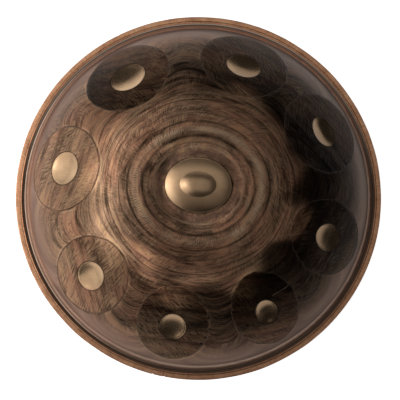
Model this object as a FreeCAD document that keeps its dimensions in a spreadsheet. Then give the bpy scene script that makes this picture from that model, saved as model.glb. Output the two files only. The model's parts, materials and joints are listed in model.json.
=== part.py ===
# Handpan: two domed sheet-steel shells, glued flange to flange, with an edging band round the seam.
#
# Millimetres, +Z up. The origin is on the ground under the middle of the port, and the axis of the
# shells is the Z axis. The upper shell carries a raised middle note (the ding) and a ring of
# flattened notes, each with a dimple. The lower shell has a round port with a neck turned inwards.
#
# Every shell is an outer form with an inner form taken out of it. The inner form is the outer one
# moved inwards by the thickness of the sheet, so the notes and dimples are pressed through it.

import FreeCAD, Part
import math
import os
import Sketcher

doc = FreeCAD.newDocument("handpan")


# ---------------------------------------------------------------- driving dimensions

SIZES = {
    "shell_radius": 252.5,        # where the bend under the wall runs out into the flat flange
    "flange_width": 11.5,         # flat part of both flanges
    "bend_radius": 4,             # outside of the bend between wall and flange
    "sheet": 1,                   # thickness of the steel
    "glue": 0.5,                  # thickness of the glue line
    "crown_radius": 360,          # arc of the gently domed middle, seen in section
    "shoulder_width": 131.5,      # from the crown's edge to the flange
    "top_rise": 108,              # glued face to crown, upper shell
    "bottom_rise": 110,           # glued face to base, lower shell
    "port_radius": 50,            # clear radius of the port
    "lip_radius": 8,              # round between the base and the neck, measured outside
    "neck_length": 26,            # from the base to the edge of the neck
    "base_width": 12,             # level ring round the port that the instrument rests on
    "ding_half_x": 44.7,          # base of the ding
    "ding_half_y": 36.8,
    "ding_rise": 9,               # crown to the top of the ding's lower dome
    "plateau_half_x": 26.3,       # raised middle of the ding
    "plateau_half_y": 19.1,
    "plateau_start": 5,           # height above the crown where the plateau has that size
    "plateau_rise": 9,            # from there to its top
    "ding_turn": -4,              # turn of the ding about Z, degrees
    "moat_offset": 7.3,           # from the ding's wide end to the middle of the trough round it
    "moat_depth": 1.5,
    "moat_section_radius": 45,
    "cap_sink": 0.6,              # how far an ellipsoid's centre lies off its cap, in half heights
    "note_inset": 60,             # from the flange to the middle of the notes
    "note_half_length": 61.5,     # notes, towards and away from the middle
    "note_flatness": 1.2,         # share of the shell's bulge that is pressed out of a note
    "former_height": 200,         # half height of the ellipsoids that shape the notes
    "dimple_depth": 4,
    "cutter_margin": 8,           # how far a note's cutter reaches past the note
    "band": 1,                    # thickness of the edging band
    "band_reach": 8.5,            # how far its legs reach in from the edge of the flanges
    "bead_width": 2,              # rolled edge of each leg
    "bead_radius": 1.1,
    "band_corner_radius": 1.4,
    "band_gap": 0.6,              # butt joint between the ends of the band
    "band_gap_angle": -101,       # where that joint is, degrees
    "band_sectors": 36,           # equal lengths that the band is drawn in, to keep its faces short
}

# One row for each note, from the lowest one upwards: its angle round the shell, its half width,
# the half width and half length of its dimple, and how far the dimple lies outside its middle.
NOTE_VALUES = ("angle", "half_width", "dimple_half_width", "dimple_half_length", "dimple_shift")
NOTES = [
    (122, 61.5, 25.5, 24, -4),
    (70, 62.5, 24.5, 22, -5),
    (171, 60, 23, 24, -2),
    (25, 59.5, 22, 18, 4),
    (219, 53.5, 19.5, 22.5, 0),
    (339.5, 51.5, 18.5, 22, 1),
    (259.5, 49, 18, 21, 2),
    (299, 46, 15, 20, 3),
]

sheet = doc.addObject("Spreadsheet::Sheet", "sizes")
for number, note in enumerate(NOTES, start=1):
    for word, value in zip(NOTE_VALUES, note):
        SIZES[f"note{number}_{word}"] = value
for row, (alias, value) in enumerate(SIZES.items(), start=1):
    sheet.set(f"A{row}", alias)
    sheet.set(f"B{row}", str(value))
    sheet.setAlias(f"B{row}", alias)
doc.recompute()


# ---------------------------------------------------------------- worked-out dimensions

derived = doc.addObject("App::VarSet", "derived")


def derive(name, expression, kind="App::PropertyFloat"):
    """Keep a named value that follows from the sheet."""
    derived.addProperty(kind, name)
    derived.setExpression(name, expression)


def derive_section(shell):
    """The arcs of a shell's section, with its glued face at zero and its crown upwards.

    The crown's arc starts level at the edge of the flat middle. The shoulder's arc leaves it
    without a corner, and touches the bend that leads into the flange.
    """
    rise = f"sizes.{shell}_rise"
    flat = f"derived.{shell}_flat_radius"
    own = f"derived.{shell}"
    derive(f"{shell}_slope", f"asin((derived.crown_edge_radius - {flat}) / sizes.crown_radius) / 1deg")
    derive(f"{shell}_sine", f"sin({own}_slope * 1deg)")
    derive(f"{shell}_cosine", f"cos({own}_slope * 1deg)")
    derive(f"{shell}_edge_height", f"{rise} - sizes.crown_radius * (1 - {own}_cosine)")
    # From the middle of the bend to the end of the crown's arc.
    derive(f"{shell}_run", "derived.crown_edge_radius - sizes.shell_radius")
    derive(f"{shell}_climb", f"{own}_edge_height - sizes.sheet - sizes.bend_radius")
    derive(
        f"{shell}_shoulder",
        f"({own}_run ^ 2 + {own}_climb ^ 2 - sizes.bend_radius ^ 2)"
        f" / (2 * ({own}_run * {own}_sine + {own}_climb * {own}_cosine + sizes.bend_radius))",
    )
    derive(f"{shell}_centre_radius", f"derived.crown_edge_radius - {own}_shoulder * {own}_sine")
    derive(f"{shell}_centre_height", f"{own}_edge_height - {own}_shoulder * {own}_cosine")
    derive(f"{shell}_reach", f"{own}_shoulder / ({own}_shoulder + sizes.bend_radius)")


def derive_note(number):
    """A note's frame on the upper shell: X away from the middle, Y round the shell, Z outwards.

    Over the note's length and width the shell bulges by two heights. The note is pressed down by a
    share of them, and keeps the curve that brings its edge back up to the shell in an oval of the
    note's length and width.
    """
    half_width = f"sizes.note{number}_half_width"
    own = f"derived.note{number}"
    derive(f"note{number}_bulge", f"{half_width} ^ 2 / (2 * derived.note_side_radius)")
    derive(
        f"note{number}_depth",
        f"sizes.note_flatness * derived.note_bulge * {own}_bulge"
        f" / (derived.note_bulge + {own}_bulge)",
    )
    # Half lengths of an ellipsoid whose top has the note's two curves.
    derive(
        f"note{number}_former_x",
        "sizes.note_half_length"
        f" * sqrt(sizes.former_height / (2 * (derived.note_bulge - {own}_depth)))",
    )
    derive(
        f"note{number}_former_y",
        f"{half_width} * sqrt(sizes.former_height / (2 * ({own}_bulge - {own}_depth)))",
    )
    derive(
        f"note{number}_frame",
        f"placement(vector(0; 0; 0); rotationz(sizes.note{number}_angle))"
        " * placement(vector(derived.note_radius; 0; derived.note_height);"
        " rotationy(derived.note_slope))",
        "App::PropertyPlacement",
    )


derive("flange_radius", "sizes.shell_radius + sizes.flange_width")
derive("crown_edge_radius", "sizes.shell_radius - sizes.shoulder_width")
derive("lip_start_radius", "sizes.port_radius + sizes.lip_radius")
derive("bottom_flat_radius", "derived.lip_start_radius + sizes.base_width")
# The level middle of the upper shell stays hidden under the ding.
derive("top_flat_radius", "sizes.ding_half_y")
derive_section("top")
derive_section("bottom")
derive("bottom_seam", "sizes.bottom_rise")
derive("top_seam", "derived.bottom_seam + sizes.glue")
derive("note_radius", "sizes.shell_radius - sizes.note_inset")
derive("note_sine", "(derived.note_radius - derived.top_centre_radius) / derived.top_shoulder")
derive("note_slope", "asin(derived.note_sine) / 1deg")
derive(
    "note_height",
    "derived.top_seam + derived.top_centre_height + derived.top_shoulder * cos(derived.note_slope * 1deg)",
)
derive("note_side_radius", "derived.note_radius / derived.note_sine")
derive("note_bulge", "sizes.note_half_length ^ 2 / (2 * derived.top_shoulder)")
for number in range(1, len(NOTES) + 1):
    derive_note(number)
derive("crown_height", "derived.top_seam + sizes.top_rise")
derive("cap_spread", "sqrt(1 - sizes.cap_sink ^ 2)")
derive("moat_radius", "sizes.ding_half_x + sizes.moat_offset")
derive("band_inner_radius", "derived.flange_radius - sizes.band_reach")
derive("band_outer_radius", "derived.flange_radius + sizes.band")
derive("band_low", "derived.bottom_seam - sizes.sheet")
derive("band_high", "derived.top_seam + sizes.sheet")
derive("band_gap_turn", "sizes.band_gap / derived.band_outer_radius * 180 / pi")
derive("band_sector_turn", "(360 - derived.band_gap_turn) / sizes.band_sectors")
doc.recompute()


# ---------------------------------------------------------------- building blocks

def add(kind, name, **expressions):
    """Add an object and bind its properties to expressions."""
    thing = doc.addObject(kind, name)
    for key, expression in expressions.items():
        thing.setExpression(key, expression)
    return thing


def cut(name, base, tool):
    thing = doc.addObject("Part::Cut", name)
    thing.Base = base
    thing.Tool = tool
    return thing


def fuse(name, pieces):
    thing = doc.addObject("Part::MultiFuse", name)
    thing.Shapes = pieces
    return thing


def arc_between(start, end, radius, side):
    """The arc from start to end. Side +1 puts its centre on the left of that direction."""
    chord = end - start
    middle = (start + end) * 0.5
    reach = math.sqrt(radius ** 2 - (chord.Length / 2) ** 2)
    left = FreeCAD.Vector(-chord.y, chord.x, 0).normalize()
    centre = middle + left * (reach * side)
    start_angle = math.atan2(start.y - centre.y, start.x - centre.x)
    end_angle = math.atan2(end.y - centre.y, end.x - centre.x)
    if side < 0:
        start_angle, end_angle = end_angle, start_angle
    if end_angle < start_angle:
        end_angle += 2 * math.pi
    circle = Part.Circle(centre, FreeCAD.Vector(0, 0, 1), radius)
    return Part.ArcOfCircle(circle, start_angle, end_angle)


def add_outline(body, name, corners):
    """A closed outline in the XZ plane.

    Each corner is (x, z), or (x, z, radius, side) where an arc leads from it to the next one.
    All of these but the side are expressions, and they become the outline's constraints.
    """
    outline = body.newObject("Sketcher::SketchObject", name)
    planes = body.Origin.OriginFeatures
    outline.AttachmentSupport = [(next(p for p in planes if p.Role == "XZ_Plane"), "")]
    outline.MapMode = "FlatFace"
    points = [
        FreeCAD.Vector(*[float(derived.evalExpression(value)) for value in corner[:2]])
        for corner in corners
    ]
    ends = []
    for index, corner in enumerate(corners):
        start = points[index]
        end = points[(index + 1) % len(points)]
        if len(corner) == 2:
            outline.addGeometry(Part.LineSegment(start, end), False)
            ends.append((1, 2))
            continue
        side = corner[3]
        radius = float(derived.evalExpression(corner[2]))
        outline.addGeometry(arc_between(start, end, radius, side), False)
        ends.append((1, 2) if side > 0 else (2, 1))
    for index, corner in enumerate(corners):
        following = (index + 1) % len(corners)
        outline.addConstraint(Sketcher.Constraint(
            "Coincident", index, ends[index][1], following, ends[following][0]))
    for index, corner in enumerate(corners):
        first = ends[index][0]
        for kind, expression in zip(("DistanceX", "DistanceY"), corner):
            value = float(derived.evalExpression(expression))
            if abs(value) < 1e-9:
                axis = -2 if kind == "DistanceX" else -1
                outline.addConstraint(Sketcher.Constraint("PointOnObject", index, first, axis))
                continue
            place = outline.addConstraint(Sketcher.Constraint(kind, -1, 1, index, first, value))
            outline.setExpression(f"Constraints[{place}]", expression)
        if len(corner) == 4:
            value = float(derived.evalExpression(corner[2]))
            place = outline.addConstraint(Sketcher.Constraint("Radius", index, value))
            outline.setExpression(f"Constraints[{place}]", corner[2])
    return outline


def revolve(name, corners, angle="360", **expressions):
    """A body turned round the Z axis from an outline."""
    body = add("PartDesign::Body", name, **expressions)
    outline = add_outline(body, f"{name}_outline", corners)
    turned = body.newObject("PartDesign::Revolution", f"{name}_turned")
    turned.Profile = outline
    turned.ReferenceAxis = (outline, ["V_Axis"])
    turned.setExpression("Angle", angle)
    return body


def dome_corners(shell, inset, flange):
    """The section of a shell's form, moved inwards by the inset, with or without its flange."""
    own = f"derived.{shell}"
    flat = f"derived.{shell}_flat_radius"
    shoulder = f"{own}_shoulder - {inset}"
    corners = [
        ("0", "0"),
        ("0", f"sizes.{shell}_rise - {inset}"),
        (flat, f"sizes.{shell}_rise - {inset}", f"sizes.crown_radius - {inset}", -1),
        (f"derived.crown_edge_radius - {inset} * {own}_sine",
         f"{own}_edge_height - {inset} * {own}_cosine", shoulder, -1),
    ]
    if not flange:
        corners.append((f"{own}_centre_radius + sqrt(({shoulder}) ^ 2 - {own}_centre_height ^ 2)", "0"))
        return corners
    over_flange = "(sizes.sheet + sizes.bend_radius)"
    corners += [
        (f"{own}_centre_radius + {own}_reach * (sizes.shell_radius - {own}_centre_radius)",
         f"{own}_centre_height + {own}_reach * ({over_flange} - {own}_centre_height)",
         "sizes.bend_radius", 1),
        ("sizes.shell_radius", "sizes.sheet"),
        ("derived.flange_radius", "sizes.sheet"),
        ("derived.flange_radius", "0"),
    ]
    return corners


def add_cap(name, place, half_x, half_y, rise, side, growth):
    """An ellipsoid that shows a cap of the given size and height where it meets a surface.

    Side +1 puts the ellipsoid's middle above the surface, for a dimple, and -1 below it, for a
    dome. Growth makes it larger all round.
    """
    half_height = f"{rise} / (1 - sizes.cap_sink)"
    return add(
        "Part::Ellipsoid",
        name,
        Radius1=f"{half_height} + {growth}",
        Radius2=f"{half_x} / derived.cap_spread + {growth}",
        Radius3=f"{half_y} / derived.cap_spread + {growth}",
        Placement=f"{place} * placement(vector(0; 0; {side} * sizes.cap_sink * {half_height});"
                  " rotationz(0))",
    )


# ---------------------------------------------------------------- upper shell

def note_cutter(number, inset, tag):
    """What is pressed down to make a note: a block with a hollow underside."""
    margin = "sizes.cutter_margin"
    half_length = f"(sizes.note_half_length + {margin})"
    half_width = f"(sizes.note{number}_half_width + {margin})"
    own = f"derived.note{number}"
    block = add(
        "Part::Box",
        f"note{number}_{tag}_block",
        Length=f"2 * {half_length}",
        Width=f"2 * {half_width}",
        Height=f"6 * {own}_depth + 4 * {margin}",
        Placement=f"{own}_frame * placement("
                  f"vector(-{half_length}; -{half_width}; -3 * {own}_depth - {margin}); rotationz(0))",
    )
    former = add(
        "Part::Ellipsoid",
        f"note{number}_{tag}_former",
        Radius1=f"{own}_former_y - {inset}",
        Radius2=f"{own}_former_x - {inset}",
        Radius3=f"sizes.former_height - {inset}",
        Placement=f"{own}_frame * placement("
                  f"vector(0; 0; -{own}_depth - sizes.former_height); rotationx(-90))",
    )
    return cut(f"note{number}_{tag}_cutter", block, former)


def dimple_cutter(number, inset, tag):
    note = f"sizes.note{number}"
    return add_cap(
        f"note{number}_{tag}_dimple",
        f"derived.note{number}_frame"
        f" * placement(vector({note}_dimple_shift; 0; -derived.note{number}_depth); rotationz(0))",
        f"{note}_dimple_half_length", f"{note}_dimple_half_width", "sizes.dimple_depth", 1, inset)


def upper_form(tag, inset, flange):
    """The upper shell's form, with its ding, notes and dimples."""
    dome = revolve(
        f"top_{tag}_dome", dome_corners("top", inset, flange),
        Placement="placement(vector(0; 0; derived.top_seam); rotationz(0))")
    moat = add(
        "Part::Torus",
        f"moat_{tag}",
        Radius1="derived.moat_radius",
        Radius2=f"sizes.moat_section_radius + {inset}",
        Placement="placement(vector(0; 0; derived.crown_height - sizes.moat_depth"
                  " + sizes.moat_section_radius); rotationz(0))",
    )
    dished = cut(f"top_{tag}_dished", dome, moat)
    ding = add_cap(
        f"ding_{tag}", "placement(vector(0; 0; derived.crown_height); rotationz(sizes.ding_turn))",
        "sizes.ding_half_x", "sizes.ding_half_y", "sizes.ding_rise", -1, f"-{inset}")
    plateau = add_cap(
        f"plateau_{tag}",
        "placement(vector(0; 0; derived.crown_height + sizes.plateau_start);"
        " rotationz(sizes.ding_turn))",
        "sizes.plateau_half_x", "sizes.plateau_half_y", "sizes.plateau_rise", -1, f"-{inset}")
    raised = fuse(f"top_{tag}_raised", [dished, ding, plateau])
    numbers = range(1, len(NOTES) + 1)
    cutters = [note_cutter(number, inset, tag) for number in numbers]
    cutters += [dimple_cutter(number, inset, tag) for number in numbers]
    return cut(f"top_{tag}_form", raised, fuse(f"top_{tag}_cutters", cutters))


def make_top_shell():
    outside = upper_form("outer", "0", True)
    inside = upper_form("inner", "sizes.sheet", False)
    return cut("top_shell", outside, inside)


# ---------------------------------------------------------------- lower shell

def lower_form(tag, inset, flange):
    """The lower shell's form, turned over so that its crown points at the ground."""
    return revolve(
        f"bottom_{tag}_dome", dome_corners("bottom", inset, flange),
        Placement="placement(vector(0; 0; derived.bottom_seam); rotationx(180))")


def make_bottom_shell():
    """Two forms, a round hole in the base, and the neck that rolls up into the hole."""
    dome = cut("bottom_dome", lower_form("outer", "0", True), lower_form("inner", "sizes.sheet", False))
    opening = add("Part::Cylinder", "port_opening", Radius="derived.lip_start_radius",
                  Height="sizes.lip_radius")
    neck = revolve("port_neck", [
        ("derived.lip_start_radius", "0", "sizes.lip_radius", -1),
        ("sizes.port_radius", "sizes.lip_radius"),
        ("sizes.port_radius", "sizes.neck_length"),
        ("sizes.port_radius + sizes.sheet", "sizes.neck_length"),
        ("sizes.port_radius + sizes.sheet", "sizes.lip_radius", "sizes.lip_radius - sizes.sheet", 1),
        ("derived.lip_start_radius", "sizes.sheet"),
    ])
    return fuse("bottom_shell", [cut("bottom_dome_open", dome, opening), neck])


# ---------------------------------------------------------------- seam

def make_seam_adhesive():
    """The glue line between the flat parts of the two flanges."""
    return revolve("seam_adhesive", [
        ("sizes.shell_radius", "derived.bottom_seam"),
        ("derived.flange_radius", "derived.bottom_seam"),
        ("derived.flange_radius", "derived.top_seam"),
        ("sizes.shell_radius", "derived.top_seam"),
    ])


def make_rim_band():
    """A channel folded over both flanges, with a rolled edge on each leg and one butt joint."""
    inner = "derived.band_inner_radius"
    bead_end = "derived.band_inner_radius + sizes.bead_width"
    outer = "derived.band_outer_radius"
    corner = "sizes.band_corner_radius"
    low = "derived.band_low"
    high = "derived.band_high"
    band = revolve("rim_band", [
        (inner, f"{low} - sizes.band", "sizes.bead_radius", 1),
        (bead_end, f"{low} - sizes.band"),
        (f"{outer} - {corner}", f"{low} - sizes.band", corner, 1),
        (outer, f"{low} - sizes.band + {corner}"),
        (outer, f"{high} + sizes.band - {corner}", corner, 1),
        (f"{outer} - {corner}", f"{high} + sizes.band"),
        (bead_end, f"{high} + sizes.band", "sizes.bead_radius", 1),
        (inner, f"{high} + sizes.band"),
        (inner, high),
        ("derived.flange_radius", high),
        ("derived.flange_radius", low),
        (inner, low),
    ], angle="derived.band_sector_turn",
        Placement="placement(vector(0; 0; 0); rotationz(sizes.band_gap_angle))")
    sector = band.Tip
    sector.Refine = False
    doc.recompute()
    ring = band.newObject("PartDesign::PolarPattern", "rim_band_ring")
    ring.Originals = [sector]
    ring.Axis = (sector.Profile[0], ["V_Axis"])
    ring.setExpression("Angle", "derived.band_sector_turn * (sizes.band_sectors - 1)")
    ring.setExpression("Occurrences", "sizes.band_sectors")
    ring.Refine = False
    band.Tip = ring
    return band


# ---------------------------------------------------------------- build, check and write

pieces = [make_top_shell(), make_bottom_shell(), make_seam_adhesive(), make_rim_band()]
doc.recompute()

for thing in doc.Objects:
    if {"Invalid", "Error"} & set(thing.State):
        raise RuntimeError(f"{thing.Name} could not be built")
for piece in pieces:
    shape = piece.Shape
    if shape.isNull() or not shape.isValid() or len(shape.Solids) != 1:
        raise RuntimeError(f"{piece.Label} is not one valid solid")

os.makedirs("parts", exist_ok=True)
for piece in pieces:
    piece.Shape.exportStep(f"parts/{piece.Label}.step")
    volume = piece.Shape.Volume / 1000
    print(f"{piece.Label}: {volume:.1f} cubic centimetres, {len(piece.Shape.Faces)} faces")
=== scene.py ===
# The looks of a handpan, built round its CAD frame.
#
# The CAD nodes keep their shapes and sizes. The two shells and the edging band are replaced by
# finer meshes of the same form, with the slight waviness of hammered steel, and every piece gets
# its own metal. Sizes are in millimetres, and points are scaled to metres as meshes are made.

import json
import math

import bpy
import numpy as np
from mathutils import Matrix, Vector


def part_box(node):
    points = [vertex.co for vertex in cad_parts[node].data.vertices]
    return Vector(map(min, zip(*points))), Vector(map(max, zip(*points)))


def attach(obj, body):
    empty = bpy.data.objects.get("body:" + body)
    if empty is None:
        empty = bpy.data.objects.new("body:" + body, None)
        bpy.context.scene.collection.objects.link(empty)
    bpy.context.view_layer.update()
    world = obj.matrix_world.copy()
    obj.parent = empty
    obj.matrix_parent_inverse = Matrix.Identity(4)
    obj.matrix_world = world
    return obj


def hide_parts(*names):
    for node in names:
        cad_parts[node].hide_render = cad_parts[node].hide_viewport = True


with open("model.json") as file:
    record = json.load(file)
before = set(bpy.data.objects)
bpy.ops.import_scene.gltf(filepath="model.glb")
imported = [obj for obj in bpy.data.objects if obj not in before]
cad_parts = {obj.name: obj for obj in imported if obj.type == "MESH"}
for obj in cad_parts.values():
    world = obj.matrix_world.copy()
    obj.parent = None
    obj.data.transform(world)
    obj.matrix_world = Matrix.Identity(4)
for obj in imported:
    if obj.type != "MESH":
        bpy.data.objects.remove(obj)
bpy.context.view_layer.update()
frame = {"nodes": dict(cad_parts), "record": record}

MM = 0.001
RANDOM = np.random.default_rng(53)


# ---------------------------------------------------------------- sizes

SHEET = 1.0                     # thickness of the steel
BEND_RADIUS = 4.0               # outside of the bend between wall and flange
CROWN_RADIUS = 360.0            # arc of the domed middle, in section
FLANGE_WIDTH = 11.5
SHOULDER_WIDTH = 131.5          # from the crown's edge to the flange
LIP_RADIUS = 8.0                # round between the base and the port's neck
BASE_WIDTH = 12.0               # level ring round the port
DING = (44.7, 36.8)             # half width and half length of the ding
DING_RISE = 9.0
PLATEAU = (26.3, 19.1)          # raised middle of the ding
PLATEAU_START = 5.0
PLATEAU_RISE = 9.0
DING_TURN = math.radians(-4)
MOAT_RADIUS = 52.0              # shallow trough round the ding
MOAT_DEPTH = 1.5
MOAT_SECTION = 45.0
CAP_SINK = 0.6                  # how far a cap's ellipsoid is sunk, in half heights
NOTE_INSET = 60.0               # from the flange to the middle of the notes
NOTE_HALF_LENGTH = 61.5
NOTE_FLATNESS = 1.2
DIMPLE_DEPTH = 4.0
BAND = 1.0                      # thickness of the edging band
BAND_REACH = 8.5
BEAD_WIDTH = 2.0
BEAD_RADIUS = 1.1
BAND_CORNER = 1.4
BAND_GAP = 0.6
BAND_GAP_ANGLE = math.radians(-101)

TOP_COLUMNS = 500               # points round each ring of the meshes
BOTTOM_COLUMNS = 388
BAND_COLUMNS = 1500
TOP_STEP = 1.75                 # about how far apart the rings are
TOP_INSIDE_STEP = 9.0
BOTTOM_STEP = 2.4
QUARTER_COLUMNS = 28.0          # rings within this radius have a quarter of the points,
HALF_COLUMNS = 66.0             # and half of them within this one
DENTS = [((16, 52), 0.10), ((7, 16), 0.022)]    # lengths and heights of the waves on top
BOTTOM_DENTS = ((18, 60), 0.12)
RING_SPACING = 11.5             # fine rings round the ding
RING_HEIGHT = 0.05
GRAIN_RADIUS = 150.0            # where the grain's coordinates are true to size
HATCH_SLANT = 0.9               # slant of the cross-hatching against the grain
HATCH_RING = 81.5               # radius of the ring with regular cross cuts
HATCH_COUNT = 166               # how many cuts go round it

top_low, top_high = (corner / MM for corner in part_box("top_shell"))
bottom_low, bottom_high = (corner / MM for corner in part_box("bottom_shell"))
FLANGE_RADIUS = (top_high.x - top_low.x) / 2
SHELL_RADIUS = FLANGE_RADIUS - FLANGE_WIDTH
CROWN_EDGE = SHELL_RADIUS - SHOULDER_WIDTH
TOP_SEAM = top_low.z
BOTTOM_SEAM = bottom_high.z
CROWN = top_high.z - PLATEAU_START - PLATEAU_RISE
port = next(mount for mount in frame["record"]["mounts"] if mount["name"] == "gu_port")
PORT_RADIUS = port["dims"]["r_mm"]
NECK_TOP = port["pos_m"][2] / MM + port["dims"]["length_mm"] / 2

# Angle, half width, dimple's half width and half length, its shift outwards, the direction of the
# polishing strokes, how light the note is painted, as patina and as painted shade for what it
# reflects, how much lighter at one side, and where.
NOTES = [
    (122, 61.5, 25.5, 24, -4, 62, 0.40, 0.30, 20),
    (70, 62.5, 24.5, 22, -5, 80, 0.50, 0.20, 240),
    (171, 60, 23, 24, -2, 75, 0.95, 0.10, 180),
    (25, 59.5, 22, 18, 4, 115, 0.72, 0.15, 200),
    (219, 53.5, 19.5, 22.5, 0, 60, 0.95, 0.10, 200),
    (339.5, 51.5, 18.5, 22, 1, 80, 0.75, 0.20, 290),
    (259.5, 49, 18, 21, 2, 95, 0.75, 0.15, 180),
    (299, 46, 15, 20, 3, 70, 0.58, 0.35, 280),
]

# Patches where the shell is made lighter or darker: direction, narrowness,
# distance from the axis, reach, and change.
TONE_PATCHES = [
    (245, 2, 100, 26, -0.52),
    (300, 2, 137, 13, 1.3),
    (140, 3, 140, 50, 0.40),
    (185, 3, 168, 26, -0.40),
    (180, 1, 58, 10, -0.45),
    (330, 1, 60, 12, 0.2),
]

# Nicks in the edging: angle and depth.
NICKS = [(116.7, 0.9), (-104.2, 1.1), (-100.6, 0.7)]
NICK_HALF_WIDTH = 1.6

# Small flaws, as places in a note: down the slope and round the shell from its middle.
PITTED_NOTE = 6
PITS = [(-22, 46), (10, 46.3), (22, 42.7)]
SCRATCHED_NOTE = 7
SCRATCH = [(-16.4, 17.2), (-17.6, 43)]


# ---------------------------------------------------------------- mesh helpers

def make_object(name, points, faces, attributes, sharp=None):
    """A smooth-shaded mesh object from points in millimetres, with values kept at its points."""
    mesh = bpy.data.meshes.new(name)
    mesh.from_pydata((np.asarray(points) * MM).tolist(), [], faces)
    mesh.shade_smooth()
    if sharp:
        mesh.set_sharp_from_angle(angle=math.radians(sharp))
    for key, values in attributes.items():
        values = np.asarray(values, np.float32)
        kind, field = ("FLOAT", "value") if values.ndim == 1 else ("FLOAT_VECTOR", "vector")
        mesh.attributes.new(key, kind, "POINT").data.foreach_set(field, values.ravel())
    piece = bpy.data.objects.new(name, mesh)
    bpy.context.scene.collection.objects.link(piece)
    return piece


def strip_faces(first, count, second, second_count):
    """Faces between two rings of points, the second with as many points as the first or twice."""
    here = np.arange(count)
    after = (here + 1) % count
    if second_count == count:
        quads = np.stack([first + here, second + here, second + after, first + after], axis=-1)
        return quads.tolist()
    left = second + 2 * here
    right = second + 2 * after
    triangles = np.concatenate([
        np.stack([first + here, left, left + 1], axis=-1),
        np.stack([first + here, left + 1, first + after], axis=-1),
        np.stack([first + after, left + 1, right], axis=-1),
    ])
    return triangles.tolist()


def lathe_points(outline, turns):
    """An outline of (radius, height) turned to each of the angles."""
    outline = np.asarray(outline, float)
    radius, turn = np.meshgrid(outline[:, 0], turns, indexing="ij")
    height = np.repeat(outline[:, 1:2], len(turns), axis=1)
    return np.stack([radius * np.cos(turn), radius * np.sin(turn), height], axis=-1)


def lathe_faces(rows, columns, full):
    """Faces of a closed outline turned all the way, or part of it with two flat ends."""
    spans = columns if full else columns - 1
    row, column = np.meshgrid(np.arange(rows), np.arange(spans), indexing="ij")
    next_row = (row + 1) % rows
    next_column = (column + 1) % columns
    faces = np.stack([
        row * columns + column, next_row * columns + column,
        next_row * columns + next_column, row * columns + next_column,
    ], axis=-1).reshape(-1, 4).tolist()
    if not full:
        ends = np.arange(rows) * columns
        faces.append(ends[::-1].tolist())
        faces.append((ends + columns - 1).tolist())
    return faces


def arc_points(centre, radius, start, end, count):
    """Points on an arc, angles in degrees."""
    return [(centre[0] + radius * math.cos(math.radians(turn)),
             centre[1] + radius * math.sin(math.radians(turn)))
            for turn in np.linspace(start, end, count)]


def smooth_step(low, high, value):
    share = np.clip((value - low) / (high - low), 0, 1)
    return share * share * (3 - 2 * share)


def soft_low(a, b, blend):
    """The lower of two heights, with the corner between them rounded."""
    share = np.clip(0.5 + 0.5 * (a - b) / blend, 0, 1)
    return a * (1 - share) + b * share - blend * share * (1 - share)


def soft_high(a, b, blend):
    return -soft_low(-a, -b, blend)


def waviness(x, y, lengths, height, count=48):
    """Low waves in all directions, as hammering and heating leave on a sheet."""
    total = np.zeros_like(x)
    for _ in range(count):
        length = RANDOM.uniform(*lengths)
        angle = RANDOM.uniform(0, 2 * math.pi)
        phase = RANDOM.uniform(0, 2 * math.pi)
        wave = (x * math.cos(angle) + y * math.sin(angle)) * (2 * math.pi / length)
        total += np.sin(wave + phase) * length
    return total * height / (total.std() + 1e-9)


def towards(turn, degrees, power=1):
    """1 in that direction, falling to 0 in the opposite one."""
    return (0.5 + 0.5 * np.cos(turn - math.radians(degrees))) ** power


def segment_distance(u, v, start, end):
    """Distance from a straight line between two points."""
    run = np.subtract(end, start)
    share = np.clip(((u - start[0]) * run[0] + (v - start[1]) * run[1]) / (run @ run), 0, 1)
    return np.hypot(u - start[0] - share * run[0], v - start[1] - share * run[1])


def oval_edge(u, v, half_u, half_v):
    """Distance from an oval's edge in millimetres, negative inside."""
    away = np.hypot(u, v) + 1e-6
    reach = np.hypot(u / half_u, v / half_v) + 1e-6
    return away * (1 - 1 / reach)


# ---------------------------------------------------------------- shells

class Section:
    """The outer line of a shell's section: level middle, crown, shoulder, bend and flange.

    Heights are measured from the glued face of the flange towards the crown.
    """

    def __init__(self, rise, flat):
        self.rise = rise
        self.flat = flat
        slope = math.asin((CROWN_EDGE - flat) / CROWN_RADIUS)
        edge_height = rise - CROWN_RADIUS * (1 - math.cos(slope))
        run = CROWN_EDGE - SHELL_RADIUS
        climb = edge_height - SHEET - BEND_RADIUS
        self.shoulder = (run ** 2 + climb ** 2 - BEND_RADIUS ** 2) / (
            2 * (run * math.sin(slope) + climb * math.cos(slope) + BEND_RADIUS))
        self.centre = (CROWN_EDGE - self.shoulder * math.sin(slope),
                       edge_height - self.shoulder * math.cos(slope))
        share = self.shoulder / (self.shoulder + BEND_RADIUS)
        self.wall_end = self.centre[0] + share * (SHELL_RADIUS - self.centre[0])

    def height(self, radius):
        crown = self.rise - CROWN_RADIUS + np.sqrt(
            CROWN_RADIUS ** 2 - np.clip(radius - self.flat, 0, CROWN_RADIUS) ** 2)
        shoulder = self.centre[1] + np.sqrt(
            np.clip(self.shoulder ** 2 - (radius - self.centre[0]) ** 2, 0, None))
        bend = SHEET + BEND_RADIUS - np.sqrt(
            np.clip(BEND_RADIUS ** 2 - (radius - SHELL_RADIUS) ** 2, 0, None))
        return np.select(
            [radius < self.flat, radius < CROWN_EDGE, radius < self.wall_end,
             radius < SHELL_RADIUS],
            [self.rise, crown, shoulder, bend], SHEET)

    def radii(self, inner, step, crowding):
        """Radii about a step apart along the line, closer where crowding says so."""
        fine = np.linspace(inner, FLANGE_RADIUS, 20000)
        length = np.hypot(np.gradient(fine), np.gradient(self.height(fine)))
        travelled = np.cumsum(length * crowding(fine))
        count = int((travelled[-1] - travelled[0]) / step)
        return np.interp(np.linspace(travelled[0], travelled[-1], count), travelled, fine)


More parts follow.
